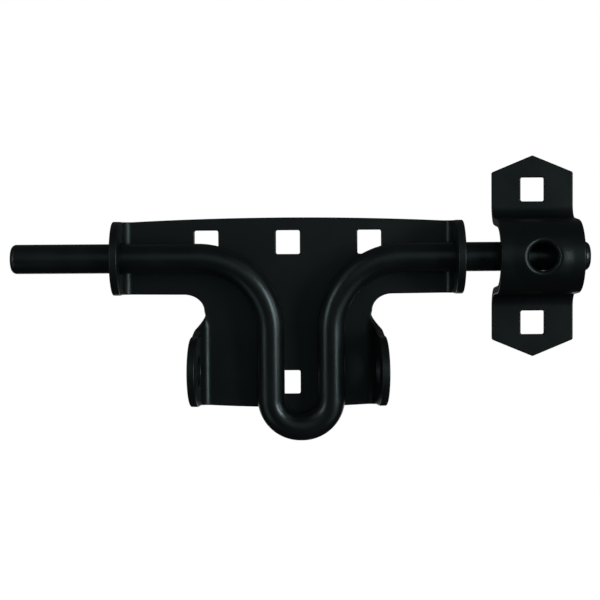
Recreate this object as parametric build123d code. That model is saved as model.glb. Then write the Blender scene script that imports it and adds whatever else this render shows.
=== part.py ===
from build123d import *
import os
from math import acos, atan2, cos, hypot, radians, sin, tan

os.makedirs("parts", exist_ok=True)

# Sliding bolt latch for a gate: a folded backing plate, a bolt bent from one round bar, and a
# saddle keeper for the post. Millimetres. X runs along the bolt and Z is up. The wall is the
# plane Y = 0 and the latch stands out from it towards -Y. The origin is on the wall, midway
# between the plate's end flanges and level with the bolt's axis.

# Sheet that the plate and the keeper are folded from, and its carriage bolt holes
sheet = 3.4
bend_radius = 3.0
square_hole = 10.5
square_corner = 0.8

# Bolt: a round bar standing off the wall, slid a little to the right as found
bolt_diameter = 12.7
bolt_height = 15.9
bolt_length = 250.2
bolt_end_round = 2.4
bolt_slid = 5.5
bolt_clear = 0.4

# U handle bent out of the middle of the bar, which draws thinner through the shoulders
handle_diameter = 12.0
handle_radius = 13.2
handle_shoulder = 31.5
handle_drop = 74.7
handle_rest_gap = 0.3

# Backing plate: a crowned cross arm with a flange folded out at each end
plate_width = 151.4
arm_height = 32.0
arm_crown = 1.7
arm_hole_pitch = 36.0
arm_hole_level = 6.8

# Tongue below the arm, with a padlock ear folded out at each side and a notch over each ear
tongue_level = 65.2
tongue_crown = 1.0
tongue_hole_level = 55.2
ear_span = 82.2
ear_splay = 4.2
ear_level = 49.3
ear_radius = 15.2
padlock_hole = 12.7
notch_radius = 7.6
notch_depth = 3.9

# Keeper: a strap arched over the bolt, with a pointed tab above and below
keeper_place = 108.1
keeper_width = 35.7
keeper_height = 88.8
keeper_point = 7.4
keeper_rise = 34.0
keeper_arch = 12.6
keeper_lean = 5.0
keeper_hole_level = 29.4
keeper_window = 13.8
keeper_window_lip = 1.3

# Worked out from the sizes above
sheet_middle = sheet / 2
bend_outer = bend_radius + sheet
bolt_radius = bolt_diameter / 2
through = plate_width + bolt_length

# Working planes: the wall seen from the front, and a side view measured off the wall and up
wall = Plane.XZ
side = Plane(origin=(0, 0, 0), x_dir=(0, -1, 0), z_dir=(-1, 0, 0))


def cut_through(sketch):
    """A prism running right through the latch, square to the plane of the sketch."""
    return extrude(sketch, through, both=True)


def square_holes(places):
    """Carriage bolt holes through a sheet lying on the wall."""
    hole = RectangleRounded(square_hole, square_hole, square_corner)
    return cut_through(wall * (Sketch() + Locations(*places) * hole))


def both_sides(right):
    """The right-hand piece and its mirror image on the left."""
    return [right, mirror(right, about=Plane.YZ)]


def fold(half_span, splay, low, high):
    """Right-hand fold of the plate: a little flat, the bend, and a leg leaning out by splay degrees."""
    lean = radians(splay)
    corner = Vector(half_span - sheet_middle * (1 - sin(lean)) / cos(lean), -sheet_middle)
    flat_end = corner - Vector(2 * bend_outer, 0)
    leg_end = corner + Vector(sin(lean), -cos(lean)) * 2 * (bolt_height + arm_height)
    line = FilletPolyline(flat_end, corner, leg_end, radius=bend_radius + sheet_middle)
    return Pos(0, 0, low) * extrude(trace(line, sheet), high - low)


def tip_outline(level, radius, upper, lower):
    """Side view of a flange or ear: straight sides off the wall into an arch round its hole."""
    arch_top = (bolt_height, level + radius)
    arch_bottom = (bolt_height, level - radius)
    arch = ThreePointArc(arch_bottom, (bolt_height + radius, level), arch_top)
    return make_face([arch, Polyline(arch_top, *upper, *lower, arch_bottom)])


def latch_plate():
    """Backing plate with end flanges, tongue and padlock ears, all one folded sheet."""
    half_arm = arm_height / 2
    half_width = plate_width / 2
    half_ears = ear_span / 2
    arm_end = half_width - bend_outer
    tongue_edge = half_ears - bend_outer
    notch_x = half_ears - notch_depth + notch_radius
    notch_level = half_arm + notch_radius
    ear_top = notch_level + notch_radius

    arm_corners = [(arm_end, half_arm), (arm_end, -half_arm), (-arm_end, -half_arm), (-arm_end, half_arm)]
    crown = ThreePointArc(arm_corners[3], (0, half_arm + arm_crown), arm_corners[0])
    arm = make_face([crown, Polyline(*arm_corners)])
    neck = Pos(0, -(half_arm + notch_level) / 2) * Rectangle(2 * notch_x, notch_level - half_arm)
    tongue_ends = [(-tongue_edge, -tongue_level), (tongue_edge, -tongue_level)]
    tongue_top = [(tongue_edge, -half_arm), (-tongue_edge, -half_arm)]
    tongue_foot = ThreePointArc(tongue_ends[0], (0, -tongue_level - tongue_crown), tongue_ends[1])
    tongue = make_face([tongue_foot, Polyline(tongue_ends[1], *tongue_top, tongue_ends[0])])
    notch_places = Locations((-notch_x, -notch_level), (notch_x, -notch_level))
    notches = Sketch() + notch_places * Circle(notch_radius)
    web = extrude(wall * (arm + neck + tongue - notches), sheet)

    flange = fold(half_width, 0, -half_arm, half_arm)
    flange &= cut_through(side * tip_outline(0, half_arm, [(0, half_arm)], [(0, -half_arm)]))
    ear_upper = [(bend_outer, -ear_top), (bend_outer, -notch_level), (0, -notch_level)]
    ear_lower = [(0, -tongue_level), (sheet, -tongue_level)]
    ear = fold(half_ears, ear_splay, -tongue_level, -notch_level)
    ear &= cut_through(side * tip_outline(-ear_level, ear_radius, ear_upper, ear_lower))
    ear -= cut_through(wall * notches)
    plate = web.fuse(*both_sides(flange), *both_sides(ear)).clean()

    plate -= Pos(0, -bolt_height, 0) * Rot(0, 90, 0) * Cylinder(bolt_radius + bolt_clear, through)
    lean = radians(ear_splay)
    hole_x = half_ears - sheet_middle / cos(lean) + bolt_height * tan(lean)
    ear_face = Plane(origin=(hole_x, -bolt_height, -ear_level), z_dir=(cos(lean), sin(lean), 0))
    for hole in both_sides(ear_face * Cylinder(padlock_hole / 2, 4 * sheet)):
        plate -= hole
    arm_holes = [(x, arm_hole_level) for x in (-arm_hole_pitch, 0, arm_hole_pitch)]
    return plate - square_holes([*arm_holes, (0, -tongue_hole_level)])


def slide_bolt():
    """Round bar with a U handle that leans back until it lies on the tongue's lower edge."""
    leg_radius = handle_diameter / 2
    above_plate = bolt_height - sheet
    rest_level = tongue_level + tongue_crown
    lean = acos((leg_radius + handle_rest_gap) / hypot(above_plate, rest_level))
    lean -= atan2(rest_level, above_plate)
    handle_plane = Plane(
        origin=(bolt_slid, -bolt_height, 0), x_dir=(1, 0, 0), z_dir=(0, -cos(lean), -sin(lean))
    )

    bend_start = handle_radius + handle_shoulder
    u_level = handle_radius - handle_drop
    bar = Cylinder(bolt_radius, bolt_length / 2 - bend_start, align=(Align.CENTER, Align.CENTER, Align.MIN))
    bar = fillet(bar.edges().sort_by(Axis.Z)[-1], bolt_end_round)
    bar = Pos(bend_start, 0, 0) * Rot(0, 90, 0) * bar

    shoulder = RadiusArc((bend_start, 0), (handle_radius, -handle_shoulder), -handle_shoulder)
    thick_end = Plane(shoulder @ 0, z_dir=shoulder % 0) * Circle(bolt_radius)
    thin_end = Plane(shoulder @ 1, z_dir=shoulder % 1) * Circle(leg_radius)
    neck = sweep([thick_end, thin_end], path=shoulder, multisection=True)

    leg = Line((handle_radius, -handle_shoulder), (handle_radius, u_level))
    grip = RadiusArc((handle_radius, u_level), (-handle_radius, u_level), handle_radius)
    far_leg = Line((-handle_radius, u_level), (-handle_radius, -handle_shoulder))
    u_bar = sweep(Plane(leg @ 0, z_dir=leg % 0) * Circle(leg_radius), path=Wire([leg, grip, far_leg]))
    return handle_plane * u_bar.fuse(*both_sides(bar), *both_sides(neck)).clean()


def keeper():
    """Saddle strap arched round the bolt, with square-holed tabs cut to a point and a window in front."""
    arch_middle = keeper_arch + sheet_middle
    arch_centre = keeper_rise - keeper_arch - sheet
    tab_end = keeper_height / 2
    half_width = keeper_width / 2
    shoulder_level = tab_end - keeper_point

    lean = radians(keeper_lean)
    leg_top = Vector(arch_centre + arch_middle * sin(lean), arch_middle * cos(lean))
    foot = Vector(sheet_middle, leg_top.Y + (leg_top.X - sheet_middle) * tan(lean))
    upper = FilletPolyline(leg_top, foot, (sheet_middle, tab_end), radius=bend_radius + sheet_middle)
    lower = mirror(upper, about=Plane.XZ)
    arch = ThreePointArc(lower @ 0, (arch_centre + arch_middle, 0), upper @ 0)
    strap = extrude(side * trace([lower, arch, upper], sheet), half_width, both=True)

    blank = Polygon(
        (half_width, -shoulder_level),
        (half_width, shoulder_level),
        (0, tab_end),
        (-half_width, shoulder_level),
        (-half_width, -shoulder_level),
        (0, -tab_end),
        align=None,
    )
    strap &= cut_through(wall * blank)
    strap -= square_holes([(0, -keeper_hole_level), (0, keeper_hole_level)])

    front = Plane(origin=(0, -bolt_height, 0), x_dir=(1, 0, 0), z_dir=(0, -1, 0))
    strap -= extrude(front * Circle(keeper_window / 2), through)
    rim = strap.edges().filter_by(GeomType.BSPLINE).sort_by(Axis.Y)
    strap = fillet(rim[0], keeper_window_lip)
    return Pos(keeper_place, 0, 0) * strap


for name, piece in [("latch_plate", latch_plate()), ("slide_bolt", slide_bolt()), ("keeper", keeper())]:
    piece.label = name
    export_step(piece, f"parts/{name}.step")
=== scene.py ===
from math import acos, atan2, ceil, cos, hypot, pi, radians, sin, tan

import bpy
import numpy as np
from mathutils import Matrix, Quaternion, Vector
from mathutils.geometry import delaunay_2d_cdt, interpolate_bezier


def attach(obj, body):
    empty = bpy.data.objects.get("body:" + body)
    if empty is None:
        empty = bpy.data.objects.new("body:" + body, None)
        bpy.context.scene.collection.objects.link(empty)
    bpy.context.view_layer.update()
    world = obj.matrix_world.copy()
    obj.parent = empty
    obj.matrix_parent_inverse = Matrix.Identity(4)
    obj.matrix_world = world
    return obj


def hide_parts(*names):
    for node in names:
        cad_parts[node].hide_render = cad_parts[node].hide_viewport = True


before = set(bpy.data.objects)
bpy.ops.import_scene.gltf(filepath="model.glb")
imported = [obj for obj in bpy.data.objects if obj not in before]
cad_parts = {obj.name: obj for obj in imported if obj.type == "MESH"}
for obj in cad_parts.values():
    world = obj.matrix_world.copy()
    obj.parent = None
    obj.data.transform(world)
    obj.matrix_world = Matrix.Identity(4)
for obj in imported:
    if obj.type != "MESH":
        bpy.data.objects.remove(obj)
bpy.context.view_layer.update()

# Sliding bolt latch in satin black paint: a folded backing plate, a bolt bent from one round bar
# and a saddle keeper for the post. X runs along the bolt, Z is up and the wall is the plane Y = 0.
# Lengths are millimetres until a mesh is written.
MM = 0.001

# Sheet of the backing plate and the keeper, with bend radii taken along the middle of the sheet
sheet = 3.4
half_sheet = sheet / 2
flange_bend = 3.6 + half_sheet
ear_bend = 4.2 + half_sheet
foot_bend = 5.5 + half_sheet
square_hole = 10.5
square_corner = 0.8
edge_round = 0.55

# Bolt and its U handle, whose two quarter turns stop a little short of meeting
bolt_radius = 6.35
bolt_height = 15.9
bolt_half = 125.09
bolt_end_round = 2.4
bolt_slid = 5.5
bolt_clear = 0.4
handle_bar = 6.0
handle_radius = 13.2
handle_shoulder = 31.5
handle_drop = 74.65
handle_rest_gap = 0.3
handle_half_flat = 0.4

# Arm of the backing plate, with a flange folded out at each end. Below the arm's edge, and a little
# spare, the sheet follows the ears' folds instead of the flanges'
plate_half = 75.7
arm_half = 16.0
arm_crown = 1.7
arm_hole_pitch = 36.0
arm_hole_level = 6.8
arm_fold_spare = 0.5

# Tongue below the arm, with a shallow lip behind the handle
tongue_level = 65.2
tongue_crown = 1.0
tongue_lip = 3.1
tongue_lip_half = 13.0
tongue_lip_power = 4
tongue_hole_level = 55.2

# Padlock ears folded out of the tongue, the angle in degrees at which an ear's arched tip starts, and
# the notch over each ear
ear_half = 41.1
ear_splay = radians(4.2)
ear_level = 49.3
ear_radius = 15.2
ear_arch_from = 97
padlock_hole = 6.35
notch_place = (46.0, -23.5)
notch_size = (8.85, 7.3)

# The ears' folds run out below the notches. The slope from notch to ear is a curve in the flat: its
# two ends and the two points it leans towards, each measured out from the fold's start
ear_fold_top = 24.0
ear_fold_run = 6.5
ear_slope = ((2.71, -25.4), (3.82, -29.95), (7.23, -32.0), (11.64, -32.9))

# Keeper: a strap arched over the bolt, with a pointed tab above and below
keeper_place = 108.1
keeper_half = 17.85
keeper_end = 44.4
keeper_shoulder = 37.0
keeper_corner = 1.0
keeper_rise = 33.3
keeper_arch = 12.6 + half_sheet
keeper_lean = radians(5.0)
keeper_hole_level = 29.4

# Window of the keeper: its rolled lip, the swelling round it and how far its bore keeps straight
window_radius = 6.05
window_lip = 2.5
window_swell = 0.7
window_swell_from = 7.2
window_swell_fade = 6.5
window_straight = 12.5
window_straight_fade = 4.0

# How finely the pieces are meshed
same_point = 1e-6
least_face = 1e-4
roll_steps = 6
crown_points = 30
foot_points = 50
slope_points = 12
clear_of_rim = 0.8
fold_margin = 1.5
fold_spacing = 0.75
flat_margin = 1.75
flat_spacing = 2.5
plate_row_spacing = 1.6
plate_lowest_row = -66.0
plate_fine_rows = (-33.0, -22.0)
keeper_grid_reach = (17.0, 65.0)
keeper_grid_spacing = (1.7, 1.0)
end_roll_steps = 9
bend_steps = 28
bar_sides = 72

# Worked out for the plate in the flat: where its folds start and the middles of its rounded tips
flange_start = plate_half - flange_bend - half_sheet
flange_arch = flange_start + flange_bend * (pi / 2 - 1) + bolt_height - half_sheet
bolt_hole = bolt_radius + bolt_clear
ear_turn = pi / 2 - ear_splay
ear_corner = ear_half - half_sheet * (1 - sin(ear_splay)) / cos(ear_splay)
ear_start = ear_corner - ear_bend * tan(ear_turn / 2)
ear_edge = ear_start + ear_bend * ear_turn
ear_rise = (bolt_height - half_sheet - ear_bend * (1 - sin(ear_splay))) / cos(ear_splay)
ear_arch = ear_edge + ear_rise

# Worked out for the keeper: lengths along the strap from the crown of its arch, and how much longer
# each half of it is in the flat than it stands from the front
keeper_turn = pi / 2 - keeper_lean
keeper_centre = keeper_rise - keeper_arch - half_sheet
keeper_arch_end = keeper_arch * keeper_turn
keeper_corner_run = foot_bend * tan(keeper_turn / 2)
keeper_leg_top = keeper_centre + keeper_arch * sin(keeper_lean) - half_sheet
keeper_leg = keeper_leg_top / cos(keeper_lean) - keeper_corner_run
keeper_tab = keeper_arch_end + keeper_leg + foot_bend * keeper_turn
keeper_foot = keeper_arch * cos(keeper_lean) + keeper_leg_top * tan(keeper_lean)
keeper_spare = keeper_tab - keeper_foot - keeper_corner_run


def place_object(name, data):
    """A new object in the scene for a mesh, a lamp or a camera."""
    placed = bpy.data.objects.new(name, data)
    bpy.context.scene.collection.objects.link(placed)
    return placed


# Outlines in the flat

def arc(centre, radius, start, end, step=5.0):
    """Points along a circle, from one angle to another, in degrees."""
    turns = np.radians(np.linspace(start, end, ceil(abs(end - start) / step) + 1))
    return np.array(centre) + radius * np.stack([np.cos(turns), np.sin(turns)], axis=1)


def joined(runs):
    """Runs of points, and single points, put end to end."""
    return np.concatenate([np.atleast_2d(np.array(run, float)) for run in runs])


def loop_of(*runs, spacing=1.0):
    """One closed loop through runs of points, with the straight stretches divided evenly."""
    points = joined(runs)
    loop = []
    for here, there in zip(points, np.roll(points, -1, axis=0)):
        gap = np.linalg.norm(there - here)
        if gap > same_point:
            parts = ceil(gap / spacing)
            loop.extend(here + (there - here) * (k / parts) for k in range(parts))
    return np.array(loop)


def rounded_corners(corners, radius, step=15.0):
    """Runs of points for a polygon whose convex corners are rounded, taken anticlockwise."""
    corners = np.array(corners, float)
    runs = []
    for before, here, after in zip(np.roll(corners, 1, axis=0), corners, np.roll(corners, -1, axis=0)):
        into = (here - before) / np.linalg.norm(here - before)
        out = (after - here) / np.linalg.norm(after - here)
        turn = atan2(into[0] * out[1] - into[1] * out[0], into @ out)
        start = here - into * radius * tan(turn / 2)
        centre = start + radius * np.array([-into[1], into[0]])
        first = np.degrees(atan2(*(start - centre)[::-1]))
        runs.append(arc(centre, radius, first, first + np.degrees(turn), step))
    return runs


def square_loop(x, y, spacing=0.9):
    """A carriage bolt hole, taken clockwise."""
    half = square_hole / 2
    corners = [(x - half, y - half), (x + half, y - half), (x + half, y + half), (x - half, y + half)]
    return loop_of(*rounded_corners(corners, square_corner), spacing=spacing)[::-1]


def round_loop(x, y, radius):
    """A round hole, taken clockwise."""
    return arc((x, y), radius, 360, 0)[:-1]


def inset(loop, distance, sharpest=0.5):
    """The loop moved into the metal on its left, and the direction that each point moves in."""
    ahead = np.roll(loop, -1, axis=0) - loop
    ahead /= np.linalg.norm(ahead, axis=1, keepdims=True)
    along = ahead + np.roll(ahead, 1, axis=0)
    inward = np.stack([-along[:, 1], along[:, 0]], axis=1)
    inward /= np.linalg.norm(inward, axis=1, keepdims=True)
    spread = np.einsum("ij,ij->i", inward, np.stack([-ahead[:, 1], ahead[:, 0]], axis=1))
    return loop + inward * (distance / np.maximum(spread, sharpest))[:, None], inward


def inside(points, loops):
    """Which points lie in the metal, by counting the loops' crossings."""
    odd = np.zeros(len(points), bool)
    for loop in loops:
        for (x0, y0), (x1, y1) in zip(loop, np.roll(loop, -1, axis=0)):
            if y0 != y1:
                crosses = (points[:, 1] < y0) != (points[:, 1] < y1)
                at = x0 + (points[:, 1] - y0) * (x1 - x0) / (y1 - y0)
                odd ^= crosses & (points[:, 0] < at)
    return odd


def clear_of(points, loops, gap):
    """Which points stay a gap away from every loop."""
    edge = np.concatenate(loops)
    near = [np.min(np.sum((edge - p) ** 2, axis=1)) for p in points]
    return np.array(near) > gap**2


# Folded sheet

class FlatSheet:
    """A sheet meshed in the flat, at depths from the back at 0 to the front at the sheet's thickness."""

    def __init__(self):
        self.points = []
        self.normals = []
        self.wear = []
        self.faces = []

    def add(self, places, depth, sideways, facing, worn):
        """New points at one depth, with their normals and edge wear. Gives their numbers."""
        first = len(self.points)
        for place, side in zip(places, sideways):
            self.points.append((place[0], place[1], depth))
            self.normals.append((side[0], side[1], facing))
            self.wear.append(worn)
        return np.arange(first, len(self.points))

    def roll_edge(self, loop, front_round, back_round):
        """The rolled edge along one loop. Gives the numbers and places of its front and back rims."""
        rings = []
        for turn in np.radians(np.linspace(0, 90, roll_steps)):
            rings.append((front_round * (1 - sin(turn)), sheet - front_round * (1 - cos(turn)), turn))
        for turn in np.radians(np.linspace(90, 180, roll_steps)):
            rings.append((back_round * (1 - sin(turn)), back_round * (1 + cos(turn)), turn))
        made = []
        for distance, depth, turn in rings:
            places, inward = inset(loop, distance)
            numbers = self.add(places, depth, -inward * sin(turn), cos(turn), sin(turn))
            made.append((numbers, places))
        for (upper, _), (lower, _) in zip(made, made[1:]):
            for i in range(len(loop)):
                j = (i + 1) % len(loop)
                self.faces.append((upper[i], lower[i], lower[j], upper[j]))
        return made[0], made[-1]

    def fill_face(self, rims, grid, depth, facing):
        """The front or the back between its rims, through the grid points that lie clear of them."""
        loops = [places for _, places in rims]
        within = grid[inside(grid, loops)]
        within = within[clear_of(within, loops, clear_of_rim)]
        middle = self.add(within, depth, np.zeros_like(within), facing, 0.0)
        numbers = np.concatenate([*(rim for rim, _ in rims), middle])
        edges = []
        first = 0
        for loop in loops:
            edges += [(first + i, first + (i + 1) % len(loop)) for i in range(len(loop))]
            first += len(loop)
        points = [Vector(p) for p in np.concatenate([*loops, within])]
        made = delaunay_2d_cdt(points, edges, [], 0, same_point, True)
        places = np.array([tuple(v) for v in made[0]])
        triangles = made[2]
        source = made[3]
        shapes = np.array([places[list(t)] for t in triangles])
        areas = np.abs(np.linalg.det(shapes[:, 1:] - shapes[:, :1])) / 2

        # Points in a row along a straight rim make triangles of no size, which are left out
        kept = inside(shapes.mean(axis=1), loops) & (areas > least_face)
        for triangle, wanted in zip(triangles, kept):
            if wanted:
                corners = [numbers[source[k][0]] for k in triangle]
                self.faces.append(corners if facing > 0 else corners[::-1])

    def folded(self, name, fold, material):
        """The finished piece: every point folded into place, its normal turned by the same fold."""
        flat = np.array(self.points)
        step = 0.01
        slopes = [(fold(flat + d) - fold(flat - d)) / (2 * step) for d in np.eye(3) * step]
        turning = np.linalg.inv(np.stack(slopes, axis=2)).transpose(0, 2, 1)
        normals = np.einsum("nij,nj->ni", turning, np.array(self.normals))
        normals /= np.linalg.norm(normals, axis=1, keepdims=True)

        mesh = bpy.data.meshes.new(name)
        faces = [tuple(int(k) for k in face) for face in self.faces]
        mesh.from_pydata((fold(flat) * MM).tolist(), [], faces)
        mesh.update()
        mesh.shade_smooth()
        worn = mesh.attributes.new("edge", "FLOAT", "POINT")
        worn.data.foreach_set("value", np.array(self.wear, np.float32))
        mesh.normals_split_custom_set_from_vertices(normals.tolist())
        mesh.materials.append(material)
        return place_object(name, mesh)


def sheet_piece(name, loops, rounds, columns, rows, fold, material):
    """A sheet with holes and rolled edges, meshed in the flat and then folded.

    The loops run with the metal on their left. rounds gives each loop's edge radius in front and at
    the back, columns and rows place the points inside, and fold maps flat points to their places.
    """
    blank = FlatSheet()
    rims = [blank.roll_edge(loop, *radii) for loop, radii in zip(loops, rounds)]
    grid = np.array([(x, y) for x in columns for y in rows], float)
    blank.fill_face([front for front, _ in rims], grid, sheet, 1)
    blank.fill_face([back for _, back in rims], grid, 0.0, -1)
    return blank.folded(name, fold, material)


def smooth_step(share):
    """A share held between 0 and 1, easing out of the one and into the other."""
    share = np.clip(share, 0, 1)
    return share * share * (3 - 2 * share)


def bend(run, start, turn, radius, depth, formed, least_formed=1e-4):
    """Fold beyond a start line: how far out and how high a flat point at this depth goes.

    formed is how much of the fold is there, from nothing at 0 to the whole turn at 1.
    """
    past = np.maximum(run - start, 0)
    arc_length = radius * turn
    curve = np.maximum(formed, least_formed) / radius
    angle = curve * np.minimum(past, arc_length)
    beyond = np.maximum(past - arc_length, 0)
    lift = depth - half_sheet
    out = np.minimum(run, start) + (1 / curve - lift) * np.sin(angle) + beyond * np.cos(angle)
    high = half_sheet + (1 - np.cos(angle)) / curve + lift * np.cos(angle) + beyond * np.sin(angle)
    return out, high


# Backing plate

def fold_plate(flat):
    """Flanges and ears turned out of the flat plate, the ears' bend running out at the notches."""
    x, y, depth = flat.T
    run = np.abs(x)
    ear_formed = smooth_step((-y - ear_fold_top) / ear_fold_run)
    arm_out, arm_high = bend(run, flange_start, pi / 2, flange_bend, depth, np.ones_like(run))
    ear_out, ear_high = bend(run, ear_start, ear_turn, ear_bend, depth, ear_formed)
    below = y < -arm_half - arm_fold_spare
    out = np.where(below, ear_out, arm_out)
    high = np.where(below, ear_high, arm_high)
    return np.stack([np.sign(x) * out, -high, y], axis=1)


def plate_outline():
    """Half outline of the flat plate from the crown to the tongue, then its mirror image."""
    crown = np.linspace(0, flange_start, crown_points)
    crown_level = arm_half + arm_crown * (1 - (crown / flange_start) ** 2)
    foot = np.linspace(ear_start, 0, foot_points)
    foot_level = -tongue_level - tongue_crown * (1 - (foot / ear_start) ** 2)
    foot_level -= tongue_lip * np.maximum(1 - (foot / tongue_lip_half) ** tongue_lip_power, 0)
    slope = [(ear_start + x, y) for x, y in ear_slope]
    right = joined([
        np.stack([crown, crown_level], axis=1),
        arc((flange_arch, 0), arm_half, 90, -90),
        (flange_start, -arm_half),
        np.array(notch_place) + np.array(notch_size) * arc((0, 0), 1, 90, 180, step=4.0),
        interpolate_bezier(*slope, slope_points),
        arc((ear_arch, -ear_level), ear_radius, ear_arch_from, -90),
        np.stack([foot, foot_level], axis=1),
    ])
    left = right[::-1][:-1] * (-1, 1)
    return loop_of(right, left)[::-1]


def plate_holes():
    """Square holes of the arm and the tongue, and the round ones of the flanges and the ears."""
    holes = [square_loop(x, arm_hole_level) for x in (-arm_hole_pitch, 0, arm_hole_pitch)]
    holes.append(square_loop(0, -tongue_hole_level))
    for hand in (-1, 1):
        holes.append(round_loop(hand * flange_arch, 0, bolt_hole))
        holes.append(round_loop(hand * ear_arch, -ear_level, padlock_hole))
    return holes


def fold_lines(start, length):
    """Mesh lines that crowd together over a fold."""
    return np.arange(start - fold_margin, start + length + fold_margin, fold_spacing)


def backing_plate(material):
    """The folded plate, with mesh lines that are close over the folds and wide on the flats."""
    flange_lines = fold_lines(flange_start, flange_bend * pi / 2)
    ear_lines = fold_lines(ear_start, ear_bend * ear_turn)
    outer_lines = np.arange(flange_lines[-1] + flat_margin, flange_arch + arm_half, flat_spacing)
    inner_lines = np.arange(0.0, flange_start - fold_margin, flat_spacing)
    right_lines = np.concatenate([flange_lines, ear_lines, outer_lines, inner_lines])
    right_lines = np.unique(right_lines.round(3))
    left_lines = -right_lines[:0:-1]
    fine_bottom, fine_top = plate_fine_rows
    rows = [
        np.arange(plate_lowest_row, fine_bottom, plate_row_spacing),
        np.arange(fine_bottom, fine_top, plate_row_spacing / 2),
        np.arange(fine_top, arm_half + arm_crown, plate_row_spacing),
    ]
    loops = [plate_outline(), *plate_holes()]
    return sheet_piece(
        "backing_plate", loops, [(edge_round, edge_round)] * len(loops),
        np.concatenate([left_lines, right_lines]), np.concatenate(rows), fold_plate, material,
    )


# Keeper

def fold_keeper(flat, steepest=0.999):
    """The strap's profile, from the crown of its arch down each leg to the tab."""
    x, along, depth = flat.T
    run = np.abs(along)
    from_window = np.hypot(x, run)
    fall = smooth_step((from_window - window_swell_from) / window_swell_fade)
    lift = depth - half_sheet + window_swell * (1 - fall)

    # Round the window all depths of the sheet keep to one level, so that its bore runs straight in
    middle = np.minimum(run, keeper_arch_end) / keeper_arch
    level = np.clip(keeper_arch * np.sin(middle) / (keeper_arch + lift), -steepest, steepest)
    straight = np.clip((window_straight - from_window) / window_straight_fade, 0, 1)
    turn = middle + (np.arcsin(level) - middle) * straight
    high = keeper_centre + (keeper_arch + lift) * np.cos(turn)
    up = (keeper_arch + lift) * np.sin(turn)

    leg = np.clip(run - keeper_arch_end, 0, keeper_leg)
    high -= leg * cos(keeper_lean)
    up += leg * sin(keeper_lean)
    angle = np.clip((run - keeper_arch_end - keeper_leg) / foot_bend, 0, keeper_turn)
    high += (foot_bend - lift) * (sin(keeper_lean) - np.sin(keeper_lean + angle))
    up += (foot_bend - lift) * (cos(keeper_lean) - np.cos(keeper_lean + angle))
    up += np.maximum(run - keeper_tab, 0)
    return np.stack([keeper_place + x, -high, np.sign(along) * up], axis=1)


def keeper_outline():
    """Flat blank of the keeper with its pointed ends."""
    tip = keeper_end + keeper_spare
    shoulder = keeper_shoulder + keeper_spare
    corners = [
        (keeper_half, -shoulder),
        (keeper_half, shoulder),
        (0, tip),
        (-keeper_half, shoulder),
        (-keeper_half, -shoulder),
        (0, -tip),
    ]
    return loop_of(*rounded_corners(corners, keeper_corner))


def saddle_keeper(material):
    """The arched strap, with a bolt hole in each tab and the window with its wide rolled lip."""
    holes = [square_loop(0, hand * (keeper_hole_level + keeper_spare)) for hand in (-1, 1)]
    window = round_loop(0, 0, window_radius)
    window[:, 1] = keeper_arch * np.arcsin(window[:, 1] / keeper_arch)
    loops = [keeper_outline(), *holes, window]
    rounds = [(edge_round, edge_round)] * (len(loops) - 1) + [(window_lip, edge_round)]
    columns, rows = (
        np.arange(-reach, reach + spacing / 2, spacing)
        for reach, spacing in zip(keeper_grid_reach, keeper_grid_spacing)
    )
    return sheet_piece("saddle_keeper", loops, rounds, columns, rows, fold_keeper, material)


# Node trees

def group_socket(tree, name, kind, way="INPUT"):
    """A named input or output of a node group."""
    tree.interface.new_socket(name=name, in_out=way, socket_type="NodeSocket" + kind)


def feed(tree, socket, value):
    """Set a socket to a number, or link another node's output to it."""
    if isinstance(value, bpy.types.NodeSocket):
        tree.links.new(value, socket)
    else:
        socket.default_value = value


def noise(tree, place, scale, detail, roughness=0.5):
    """Noise over the surface."""
    node = tree.nodes.new("ShaderNodeTexNoise")
    feed(tree, node.inputs["Vector"], place)
    feed(tree, node.inputs["Scale"], scale)
    feed(tree, node.inputs["Detail"], detail)
    feed(tree, node.inputs["Roughness"], roughness)
    return node.outputs["Fac"]


def span(tree, value, between, onto):
    """A value eased from one range onto another."""
    node = tree.nodes.new("ShaderNodeMapRange")
    node.interpolation_type = "SMOOTHSTEP"
    feed(tree, node.inputs["Value"], value)
    for name, limit in zip(("From Min", "From Max", "To Min", "To Max"), (*between, *onto)):
        feed(tree, node.inputs[name], limit)
    return node.outputs["Result"]


def reckon(tree, operation, first, second=0.0):
    """A sum on one or two values."""
    node = tree.nodes.new("ShaderNodeMath")
    node.operation = operation
    feed(tree, node.inputs[0], first)
    feed(tree, node.inputs[1], second)
    return node.outputs[0]


def chosen(tree, share, without, with_it):
    """One value or the other, as the share goes from 0 to 1."""
    step = reckon(tree, "MULTIPLY", share, reckon(tree, "SUBTRACT", with_it, without))
    return reckon(tree, "ADD", step, without)


# Paint

black = (0.0031, 0.0043, 0.0045, 1)
thin_black = (0.0058, 0.0076, 0.0079, 1)
cool_sheen = (0.74, 0.96, 1.0, 1)
peel_bump = 0.35
peel_depth = 0.00004


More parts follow.
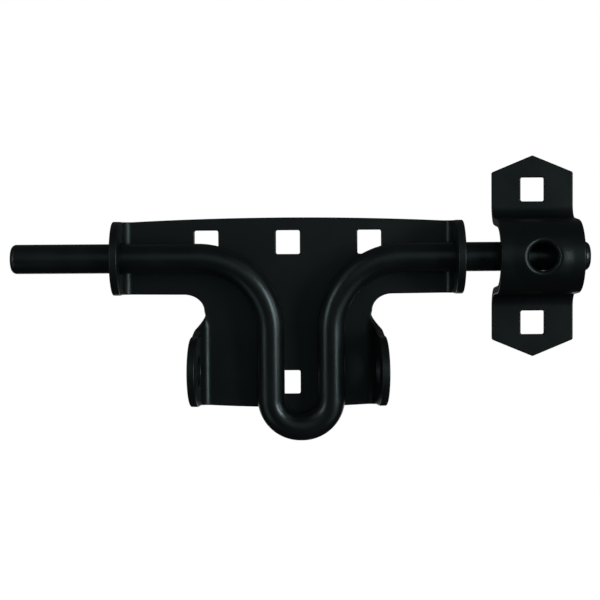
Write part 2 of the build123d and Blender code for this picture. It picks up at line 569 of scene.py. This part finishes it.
def satin_paint_group():
    """Uneven sprayed paint: orange peel, cloudy gloss, fine specks and paint drawn thin on edges."""
    # Noise scales, the levels between which each effect sets in, how far it goes, and bump heights
    speck_scale = 2600.0
    ripple_scale = 160.0
    gloss_levels = (0.3, 0.7)
    speck_levels = (0.66, 0.8)
    edge_levels = (0.25, 1.0)
    ripple_levels = (0.35, 0.65)
    cloud_levels = (0.35, 0.75)
    speck_dullness = (0.0, 0.08)
    edge_thinning = (0.0, 0.75)
    ripple_patches = (0.35, 1.0)
    cloud_thinning = (0.0, 0.35)
    ripple_height = 1.6
    speck_height = 4.0

    tree = bpy.data.node_groups.new("satin_paint", "ShaderNodeTree")
    for name in ("Peel Scale", "Cloud Scale", "Smooth Roughness", "Dull Roughness", "Edge"):
        group_socket(tree, name, "Float")
    for name in ("Paint", "Thin Paint"):
        group_socket(tree, name, "Color")
    group_socket(tree, "Color", "Color", "OUTPUT")
    group_socket(tree, "Roughness", "Float", "OUTPUT")
    group_socket(tree, "Height", "Float", "OUTPUT")
    given = tree.nodes.new("NodeGroupInput").outputs
    result = tree.nodes.new("NodeGroupOutput").inputs
    place = tree.nodes.new("ShaderNodeTexCoord").outputs["Object"]

    cloud = noise(tree, place, given["Cloud Scale"], detail=3.0)
    peel = noise(tree, place, given["Peel Scale"], detail=1.5, roughness=0.4)
    speck = noise(tree, place, speck_scale, detail=1.0)
    ripple = noise(tree, place, ripple_scale, detail=2.0)

    gloss = span(tree, cloud, gloss_levels, (given["Smooth Roughness"], given["Dull Roughness"]))
    dust = span(tree, speck, speck_levels, speck_dullness)
    feed(tree, result["Roughness"], reckon(tree, "ADD", gloss, dust))

    worn_edge = span(tree, given["Edge"], edge_levels, edge_thinning)
    patchy = reckon(tree, "MULTIPLY", worn_edge, span(tree, ripple, ripple_levels, ripple_patches))
    thin = reckon(tree, "MAXIMUM", patchy, span(tree, cloud, cloud_levels, cloud_thinning))
    mix = tree.nodes.new("ShaderNodeMix")
    mix.data_type = "RGBA"
    feed(tree, mix.inputs["Factor"], thin)
    feed(tree, mix.inputs["A"], given["Paint"])
    feed(tree, mix.inputs["B"], given["Thin Paint"])
    feed(tree, result["Color"], mix.outputs["Result"])

    height = reckon(tree, "ADD", peel, reckon(tree, "MULTIPLY", ripple, ripple_height))
    height = reckon(tree, "ADD", height, reckon(tree, "MULTIPLY", dust, speck_height))
    feed(tree, result["Height"], height)
    return tree


def paint(name, group, specular, peel, cloud, smooth, dull):
    """One painted finish: the shared paint effects with this piece's own values."""
    material = bpy.data.materials.new(name)
    material.use_nodes = True
    tree = material.node_tree
    shader = tree.nodes["Principled BSDF"]
    shader.inputs["Specular IOR Level"].default_value = specular
    shader.inputs["Specular Tint"].default_value = cool_sheen
    effects = tree.nodes.new("ShaderNodeGroup")
    effects.node_tree = group
    edge = tree.nodes.new("ShaderNodeAttribute")
    edge.attribute_name = "edge"
    values = {
        "Peel Scale": peel,
        "Cloud Scale": cloud,
        "Smooth Roughness": smooth,
        "Dull Roughness": dull,
        "Paint": black,
        "Thin Paint": thin_black,
        "Edge": edge.outputs["Fac"],
    }
    for key, value in values.items():
        feed(tree, effects.inputs[key], value)
    raised = tree.nodes.new("ShaderNodeBump")
    raised.inputs["Strength"].default_value = peel_bump
    raised.inputs["Distance"].default_value = peel_depth
    feed(tree, raised.inputs["Height"], effects.outputs["Height"])
    feed(tree, shader.inputs["Normal"], raised.outputs["Normal"])
    feed(tree, shader.inputs["Base Color"], effects.outputs["Color"])
    feed(tree, shader.inputs["Roughness"], effects.outputs["Roughness"])
    return material


# Bolt

def bent_bar_tree(material):
    """Round bar swept along a bent path: corners rounded, ends rolled off, the middle drawn thin."""
    tree = bpy.data.node_groups.new("bent_bar", "GeometryNodeTree")
    group_socket(tree, "Geometry", "Geometry")
    for name in ("Bar Radius", "Handle Bar", "End Round", "Thin To", "Thick From"):
        group_socket(tree, name, "Float")
    group_socket(tree, "Geometry", "Geometry", "OUTPUT")
    node = tree.nodes.new
    link = tree.links.new
    given = node("NodeGroupInput").outputs
    result = node("NodeGroupOutput").inputs

    path = node("GeometryNodeMeshToCurve")
    link(given["Geometry"], path.inputs["Mesh"])
    corner = node("GeometryNodeInputNamedAttribute")
    corner.data_type = "FLOAT"
    corner.inputs["Name"].default_value = "bend_radius"
    rounded = node("GeometryNodeFilletCurve")
    rounded.mode = "POLY"
    rounded.inputs["Count"].default_value = bend_steps
    link(path.outputs["Curve"], rounded.inputs["Curve"])
    link(corner.outputs["Attribute"], rounded.inputs["Radius"])

    # Radius along the bar: thin in the handle, thick outside it, and rolled off as a quarter circle
    along = node("GeometryNodeSplineParameter").outputs["Length"]
    whole = node("GeometryNodeSplineLength").outputs["Length"]
    half = reckon(tree, "MULTIPLY", whole, 0.5)
    from_middle = reckon(tree, "ABSOLUTE", reckon(tree, "SUBTRACT", along, half))
    from_end = reckon(tree, "SUBTRACT", half, from_middle)
    drawn = (given["Thin To"], given["Thick From"])
    body = span(tree, from_middle, drawn, (given["Handle Bar"], given["Bar Radius"]))
    roll = given["End Round"]
    short = reckon(tree, "MAXIMUM", reckon(tree, "SUBTRACT", roll, from_end), 0.0)
    roll_squared = reckon(tree, "MULTIPLY", roll, roll)
    side_squared = reckon(tree, "SUBTRACT", roll_squared, reckon(tree, "MULTIPLY", short, short))
    side = reckon(tree, "SQRT", reckon(tree, "MAXIMUM", side_squared, 0.0))
    radius = reckon(tree, "SUBTRACT", body, reckon(tree, "SUBTRACT", roll, side))

    ring = node("GeometryNodeCurvePrimitiveCircle")
    ring.inputs["Resolution"].default_value = bar_sides
    ring.inputs["Radius"].default_value = 1.0
    swept = node("GeometryNodeCurveToMesh")
    swept.inputs["Fill Caps"].default_value = True
    link(rounded.outputs["Curve"], swept.inputs["Curve"])
    link(ring.outputs["Curve"], swept.inputs["Profile Curve"])
    link(radius, swept.inputs["Scale"])
    smooth = node("GeometryNodeSetShadeSmooth")
    real = node("GeometryNodeRealizeInstances")
    coat = node("GeometryNodeSetMaterial")
    coat.inputs["Material"].default_value = material
    link(swept.outputs["Mesh"], smooth.inputs["Geometry"])
    link(smooth.outputs["Geometry"], real.inputs["Geometry"])
    link(real.outputs["Geometry"], coat.inputs["Geometry"])
    link(coat.outputs["Geometry"], result["Geometry"])
    return tree


def handle_lean():
    """How far the handle leans back until it lies on the tongue's lower edge."""
    above_plate = bolt_height - sheet
    rest_level = tongue_level + tongue_crown
    slant = hypot(above_plate, rest_level)
    return acos((handle_bar + handle_rest_gap) / slant) - atan2(rest_level, above_plate)


def bolt_path(name):
    """The bar's corner points in the handle's leaning plane, each with the radius it is bent to."""
    lean = handle_lean()
    rolls = bolt_end_round * (1 - np.cos(np.radians(np.linspace(0, 90, end_roll_steps))))
    half = [(bolt_half - roll, 0, 0) for roll in rolls]
    half.append((handle_radius, 0, handle_shoulder))
    half.append((handle_radius, -handle_drop, handle_radius - handle_half_flat))
    stations = half + [(-x, drop, radius) for x, drop, radius in reversed(half)]
    points = [
        Vector((bolt_slid + x, -bolt_height - drop * sin(lean), drop * cos(lean))) * MM
        for x, drop, _ in stations
    ]
    mesh = bpy.data.meshes.new(name)
    mesh.from_pydata(points, [(i, i + 1) for i in range(len(points) - 1)], [])
    radii = mesh.attributes.new("bend_radius", "FLOAT", "POINT")
    radii.data.foreach_set("value", [radius * MM for _, _, radius in stations])
    return place_object(name, mesh)


def bolt_with_handle(material):
    """The bolt: its path swept by the bent bar tree and made a plain mesh."""
    half_grip = handle_radius * pi / 2
    leg = handle_drop - handle_radius - handle_shoulder
    values = {
        "Bar Radius": bolt_radius,
        "Handle Bar": handle_bar,
        "End Round": bolt_end_round,
        "Thin To": half_grip + leg,
        "Thick From": half_grip + leg + handle_shoulder * pi / 2,
    }
    path = bolt_path("bolt_path")
    swept = path.modifiers.new("bent_bar", "NODES")
    swept.node_group = bent_bar_tree(material)
    for socket in swept.node_group.interface.items_tree:
        if socket.name in values:
            swept[socket.identifier] = values[socket.name] * MM
    evaluated = path.evaluated_get(bpy.context.evaluated_depsgraph_get())
    mesh = bpy.data.meshes.new_from_object(evaluated)
    bpy.data.objects.remove(path)
    mesh.name = "bolt_with_handle"
    return place_object("bolt_with_handle", mesh)


# The three pieces in their paint

satin_paint = satin_paint_group()
plate_paint = paint(
    "plate_paint", satin_paint, specular=0.42, peel=900.0, cloud=40.0, smooth=0.32, dull=0.40
)
bolt_paint = paint(
    "bolt_paint", satin_paint, specular=0.55, peel=1000.0, cloud=55.0, smooth=0.28, dull=0.35
)
keeper_paint = paint(
    "keeper_paint", satin_paint, specular=0.32, peel=900.0, cloud=50.0, smooth=0.31, dull=0.38
)

plate = backing_plate(plate_paint)
keeper = saddle_keeper(keeper_paint)
bolt = bolt_with_handle(bolt_paint)

for piece, node, body, slot in (
    (plate, "latch_plate", "fixed_parts", "plate_paint"),
    (keeper, "keeper", "fixed_parts", "keeper_paint"),
    (bolt, "slide_bolt", "bolt", "bolt_paint"),
):
    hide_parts(node)
    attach(piece, body)


# Studio, in metres: soft lights all at one distance round the middle of the latch

middle_of_latch = Vector((0.005, 0.0, -0.015))
lamp_distance = 1.1
floor_level = -0.8
floor_reach = 4.0


def softbox(name, azimuth, elevation, width, height, power):
    """Rectangular soft light aimed at the latch. Azimuth runs from the front round to the right."""
    turn = radians(azimuth)
    rise = radians(elevation)
    away = Vector((sin(turn) * cos(rise), -cos(turn) * cos(rise), sin(rise)))
    lamp = bpy.data.lights.new(name, "AREA")
    lamp.shape = "RECTANGLE"
    lamp.size = width
    lamp.size_y = height
    lamp.energy = power
    holder = place_object(name, lamp)
    holder.location = middle_of_latch + away * lamp_distance
    holder.rotation_euler = away.to_track_quat("Z", "Y").to_euler()


def white_studio():
    """White to the camera, even light on everything, and a dim room in the paint's reflections."""
    even_light = 0.4
    room_in_front = 0.03
    room_behind = 0.06
    behind_levels = (0.3, 0.95)
    world = bpy.data.worlds.new("white_studio")
    world.use_nodes = True
    tree = world.node_tree
    tree.nodes.clear()
    ray = tree.nodes.new("ShaderNodeLightPath").outputs
    axes = tree.nodes.new("ShaderNodeSeparateXYZ")
    direction = tree.nodes.new("ShaderNodeTexCoord").outputs["Generated"]
    feed(tree, axes.inputs["Vector"], direction)
    room = span(tree, axes.outputs["Y"], behind_levels, (room_in_front, room_behind))
    mirrored = reckon(tree, "MAXIMUM", ray["Is Glossy Ray"], ray["Is Transmission Ray"])
    unseen = chosen(tree, mirrored, even_light, room)
    background = tree.nodes.new("ShaderNodeBackground")
    background.inputs["Color"].default_value = (1, 1, 1, 1)
    feed(tree, background.inputs["Strength"], chosen(tree, ray["Is Camera Ray"], unseen, 1.0))
    output = tree.nodes.new("ShaderNodeOutputWorld")
    feed(tree, output.inputs["Surface"], background.outputs["Background"])
    bpy.context.scene.world = world


def floor_paint():
    """Matt white to the camera, with a glow that lifts it to the background, and dark to the latch."""
    white = (0.85, 0.85, 0.85, 1)
    dark = (0.04, 0.04, 0.04, 1)
    glow = 0.75
    matt = 0.9
    material = bpy.data.materials.new("floor_white")
    material.use_nodes = True
    tree = material.node_tree
    shader = tree.nodes["Principled BSDF"]
    shader.inputs["Roughness"].default_value = matt
    shader.inputs["Specular IOR Level"].default_value = 0.0
    shader.inputs["Emission Color"].default_value = (1, 1, 1, 1)
    seen = tree.nodes.new("ShaderNodeLightPath").outputs["Is Camera Ray"]
    tone = tree.nodes.new("ShaderNodeMix")
    tone.data_type = "RGBA"
    tone.inputs["A"].default_value = dark
    tone.inputs["B"].default_value = white
    feed(tree, tone.inputs["Factor"], seen)
    feed(tree, shader.inputs["Base Color"], tone.outputs["Result"])
    feed(tree, shader.inputs["Emission Strength"], reckon(tree, "MULTIPLY", seen, glow))
    return material


def pale_floor():
    """A wide floor well below the latch."""
    signs = ((-1, -1), (1, -1), (1, 1), (-1, 1))
    corners = [(x * floor_reach, y * floor_reach, floor_level) for x, y in signs]
    mesh = bpy.data.meshes.new("floor")
    mesh.from_pydata(corners, [], [(0, 1, 2, 3)])
    mesh.materials.append(floor_paint())
    floor = place_object("floor", mesh)


softbox("front_softbox", azimuth=4, elevation=17, width=0.90, height=0.72, power=0.42)
softbox("low_front_softbox", azimuth=4, elevation=-10.5, width=0.90, height=0.08, power=0.032)
softbox("right_softbox", azimuth=43, elevation=1, width=0.22, height=0.52, power=3.7)
softbox("far_right_softbox", azimuth=66, elevation=4, width=0.20, height=0.50, power=1.0)
softbox("left_softbox", azimuth=-54, elevation=4, width=0.22, height=0.60, power=1.5)
softbox("back_softbox", azimuth=180, elevation=-18, width=1.80, height=0.24, power=1.6)
for side, word in ((-1, "left"), (1, "right")):
    softbox(f"upper_{word}_softbox", azimuth=side * 58, elevation=38, width=0.60, height=0.45, power=0.22)
    softbox(f"lower_{word}_softbox", azimuth=side * 54, elevation=-32, width=0.60, height=0.50, power=0.35)
white_studio()
pale_floor()

# Camera square in front, a little above the bolt, and turned a hair as the photograph is
camera_place = Vector((0.0026, -0.6534, 0.0055))
camera_aim = Vector((0.0052, -0.0034, -0.0188))
camera_roll = radians(0.36)
frame_width = 0.2652
lens = bpy.data.cameras.new("front_camera")
lens.sensor_width = 36.0
lens.lens = lens.sensor_width * (camera_aim - camera_place).length / frame_width
lens.clip_start = 0.01
lens.clip_end = 50.0
camera = place_object("front_camera", lens)
camera.location = camera_place
level_view = (camera_aim - camera_place).to_track_quat("-Z", "Y")
camera.rotation_mode = "QUATERNION"
camera.rotation_quaternion = level_view @ Quaternion((0, 0, 1), -camera_roll)
bpy.context.scene.camera = camera
bpy.context.scene.view_settings.view_transform = "Standard"
